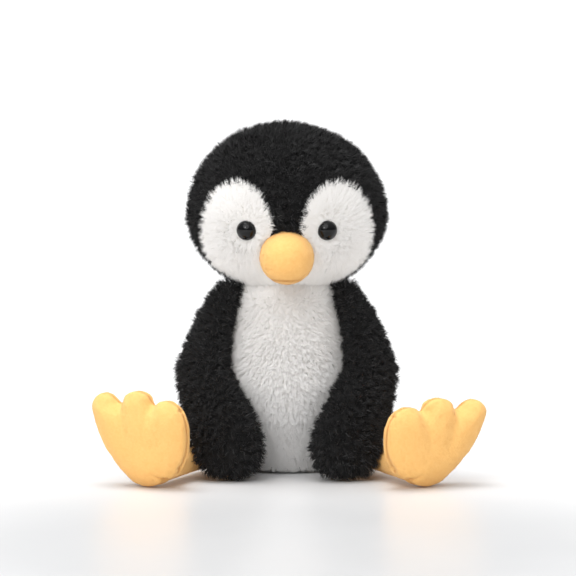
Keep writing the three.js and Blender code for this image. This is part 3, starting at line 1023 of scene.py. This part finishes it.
# ----------------------------------------------------------------------- feet
# Webbed feet of the yellow velour: a sole and an upper cut with three toes, sewn together round the
# edge and stuffed firmly, so that the toes round out and the cloth creases between them.
FOOT_YAW = math.radians(30)
FOOT_THICK = 22
FOOT_FORWARD = 18.9
FOOT_OUTLINE = [
    (0, 0), (10, 1), (18.5, 6.5), (26.5, 15.5), (32.5, 25.5), (36.5, 35.5), (37.7, 42.5), (33.5, 47.8),
    (27.5, 47.8), (20.5, 45.2), (16.5, 49.3), (10, 51.3), (3.5, 49.5), (-0.5, 45), (-5, 46.8), (-11.5, 46),
    (-17.5, 41), (-20.5, 31), (-19.8, 18.5), (-14.8, 7.5), (-7.5, 1.5),
]
CUT_THICK = 4.5
RIM_WIDE = 15  # the foot rounds off over this distance from its edge
TOE_GAPS = (((20.5, 45.5), (8, 15)), ((-0.5, 45), (2, 15)))  # where each crease starts, and where it ends


def smooth_outline(corners, steps):
    """A closed smooth curve through the corners."""
    corners = np.array(corners, float)
    curve = []
    for k in range(len(corners)):
        a, b, c, d = (corners[(k + j - 1) % len(corners)] for j in range(4))
        for t in np.arange(steps) / steps:
            bend = (2 * a - 5 * b + 4 * c - d) * t ** 2
            curve.append((2 * b + (c - a) * t + bend + (3 * b - a - 3 * c + d) * t ** 3) / 2)
    return np.array(curve)


def foot_form():
    outline = smooth_outline(FOOT_OUTLINE, 4)
    put_down()
    bpy.ops.mesh.primitive_circle_add(vertices=len(outline), radius=1, fill_type="NGON")
    form = bpy.context.object
    form.name = form.data.name = "foot_filling_right"
    flat = np.stack([outline[:, 0], np.full(len(outline), -CUT_THICK / 2), outline[:, 1]], 1)
    move_points(form, flat * MM)
    bpy.ops.object.mode_set(mode="EDIT")
    bpy.ops.mesh.select_all(action="SELECT")
    bpy.ops.mesh.extrude_region_move(TRANSFORM_OT_translate={"value": (0, CUT_THICK * MM, 0)})
    bpy.ops.mesh.select_all(action="SELECT")
    bpy.ops.mesh.normals_make_consistent(inside=False)
    bpy.ops.object.mode_set(mode="OBJECT")
    stuff(form, 2.2, 30, 10, 2)
    low, high = outline.min(0), outline.max(0)
    half_thick = FOOT_THICK / 2 - 0.8
    fit_box(form, (low[0] + 0.8, -half_thick, 0.9), (high[0] - 0.8, half_thick, high[1] - 0.8))
    points = points_of(form) / MM
    rim = smooth_outline(FOOT_OUTLINE, 8)
    edge = np.min(np.linalg.norm(points[:, None, [0, 2]] - rim[None], axis=2), axis=1)
    pillow = np.sqrt(1 - (1 - np.clip(edge / RIM_WIDE, 0, 1)) ** 2) * half_thick
    points[:, 1] = 0.35 * points[:, 1] + 0.65 * np.tanh(points[:, 1] / 1.5) * pillow
    for toe_gap, crease_end in TOE_GAPS:
        gap = np.array(toe_gap)
        way = np.array(crease_end) - gap
        share = np.clip(((points[:, [0, 2]] - gap) @ way) / (way @ way), 0, 1)
        apart = np.linalg.norm(points[:, [0, 2]] - gap - share[:, None] * way, axis=1)
        dent = 2.6 * np.exp(-(apart / 3.6) ** 2) * (1 - share) ** 1.4
        points[:, 1] -= np.sign(points[:, 1]) * dent * np.clip(np.abs(points[:, 1]) / 3, 0, 1)
    move_points(form, points * MM)
    groove(form, points[:, 1], 0.3, 0.9)
    ahead = Vector((math.sin(FOOT_YAW), -math.cos(FOOT_YAW), 0))
    out = Vector((math.cos(FOOT_YAW), math.sin(FOOT_YAW), 0))
    place = Vector((ANKLE[0], ANKLE[1], 0)) * MM + ahead * FOOT_FORWARD * MM
    stand = Matrix((
        (out.x, -ahead.x, 0, place.x),
        (out.y, -ahead.y, 0, place.y),
        (0, 0, 1, 0),
        (0, 0, 0, 1),
    ))
    form.data.transform(stand)
    return form


def foot_side(side, part):
    """Which points are on the sole (part 1) or on the upper (part -1) of a foot."""
    def belongs(points, slack):
        ahead = points[:, 0] * side * math.sin(FOOT_YAW) - points[:, 1] * math.cos(FOOT_YAW)
        middle = ANKLE[0] * math.sin(FOOT_YAW) - ANKLE[1] * math.cos(FOOT_YAW) + FOOT_FORWARD
        return (ahead - middle) * part > -slack
    return belongs


foot_right = foot_form()
foot_left = mirrored(foot_right, "foot_filling_left")
SLUMP, SPREAD = 0.075, 0.06  # the right foot sits lower and wider than the left
slumped = points_of(foot_right)
slumped[:, 2] *= 1 - SLUMP * np.clip(slumped[:, 2] / (20 * MM), 0, 1)
slumped[:, 0] += (slumped[:, 0] - 60 * MM) * SPREAD * np.clip(slumped[:, 2] / (40 * MM), 0, 1)
move_points(foot_right, slumped)
for name, side, form in (("left", -1, foot_left), ("right", 1, foot_right)):
    padded_piece(form, f"foot_{name}", "fibre_fill", fibre, 0.85, f"foot_stuffing_{name}")
    for word, part in (("sole", 1), ("upper", -1)):
        panel = piled_panel(
            f"foot_{word}_cloth_{name}", form, foot_side(side, part), VELOUR, comb_down(0.4),
            71 + side, velour,
        )
        pile_piece(panel, f"foot_{name}", f"foot_{word}_{name}")


# --------------------------------------------------------------------- studio
# The toy sits on a white table that runs back out of sight, under a wide soft light from above, with
# a weaker one in front and a small window. The table is painted grey in front of the toy, fading to
# white further off: painted shade.
def table_recipe(start):
    place = start.node("TexCoord", give=3)
    # Painted shade: grey within 0.1 m of a spot 0.28 m in front of the toy, fading to white by 0.36 m from
    # it.
    away = start.node("VectorMath", {"operation": "DISTANCE"}, {0: place, 1: (0, -0.28, 0)}, 1)
    reach = {"Value": away, "From Min": 0.1, "From Max": 0.36}
    far = start.node("MapRange", {"interpolation_type": "SMOOTHSTEP"}, reach)
    near = mixed(grain(start, 60, 2), (0.58, 0.583, 0.586), (0.595, 0.598, 0.601))
    return {
        "Base Color": mixed(far, near, (0.93, 0.93, 0.93)),
        "Roughness": 0.30 + grain(start, 30, 2) * 0.06,
    }


put_down()
bpy.ops.mesh.primitive_plane_add(size=60)
table = bpy.context.object
table.name = "table"
table.data.materials.append(finish("table", table_recipe))

for name, strength, spread, lean in (("softbox", 2.3, 36, (-10, -8)), ("fill", 1.55, 60, (47, -20))):
    light = bpy.data.objects.new(name, bpy.data.lights.new(name, "SUN"))
    bpy.context.collection.objects.link(light)
    light.data.energy = strength
    light.data.angle = math.radians(spread)
    light.rotation_euler = (math.radians(lean[0]), math.radians(lean[1]), 0)

window = bpy.data.objects.new("window", bpy.data.lights.new("window", "AREA"))
bpy.context.collection.objects.link(window)
window.data.size = 0.16
window.data.energy = 1.2
window.location = (-0.42, -0.9, 0.62)
window.rotation_euler = (Vector((0, 0, 0.12)) - window.location).to_track_quat("-Z", "Y").to_euler()

world = bpy.data.worlds.new("room")
bpy.context.scene.world = world
world.use_nodes = True
room = Strand(world.node_tree)
seen = room.node("LightPath")
up = room.node("SeparateXYZ", {}, {0: room.node("TexCoord")}, 2)
height = room.node("MapRange", {}, {"Value": up, "From Min": 0.0, "From Max": 1.0})
lit = mixed(seen, mixed(height, (0.18, 0.182, 0.185), (0.86, 0.86, 0.87)), (1.0, 1.0, 1.0))
sky = world.node_tree.nodes["Background"]
world.node_tree.links.new(lit.socket, sky.inputs["Color"])

CAMERA_AWAY = 2.5
CAMERA_RISE = math.radians(5.7)
LOOKS_AT = Vector((0.0006, 0, 0.0991))
camera = bpy.data.objects.new("camera", bpy.data.cameras.new("camera"))
bpy.context.collection.objects.link(camera)
camera.data.lens = 286.7
camera.data.sensor_width = 36
camera.data.clip_start = 0.05
camera.location = LOOKS_AT + Vector((0, -math.cos(CAMERA_RISE), math.sin(CAMERA_RISE))) * CAMERA_AWAY
camera.rotation_euler = (math.radians(90) - CAMERA_RISE, 0, 0)
bpy.context.scene.camera = camera
bpy.context.scene.view_settings.view_transform = "Standard"
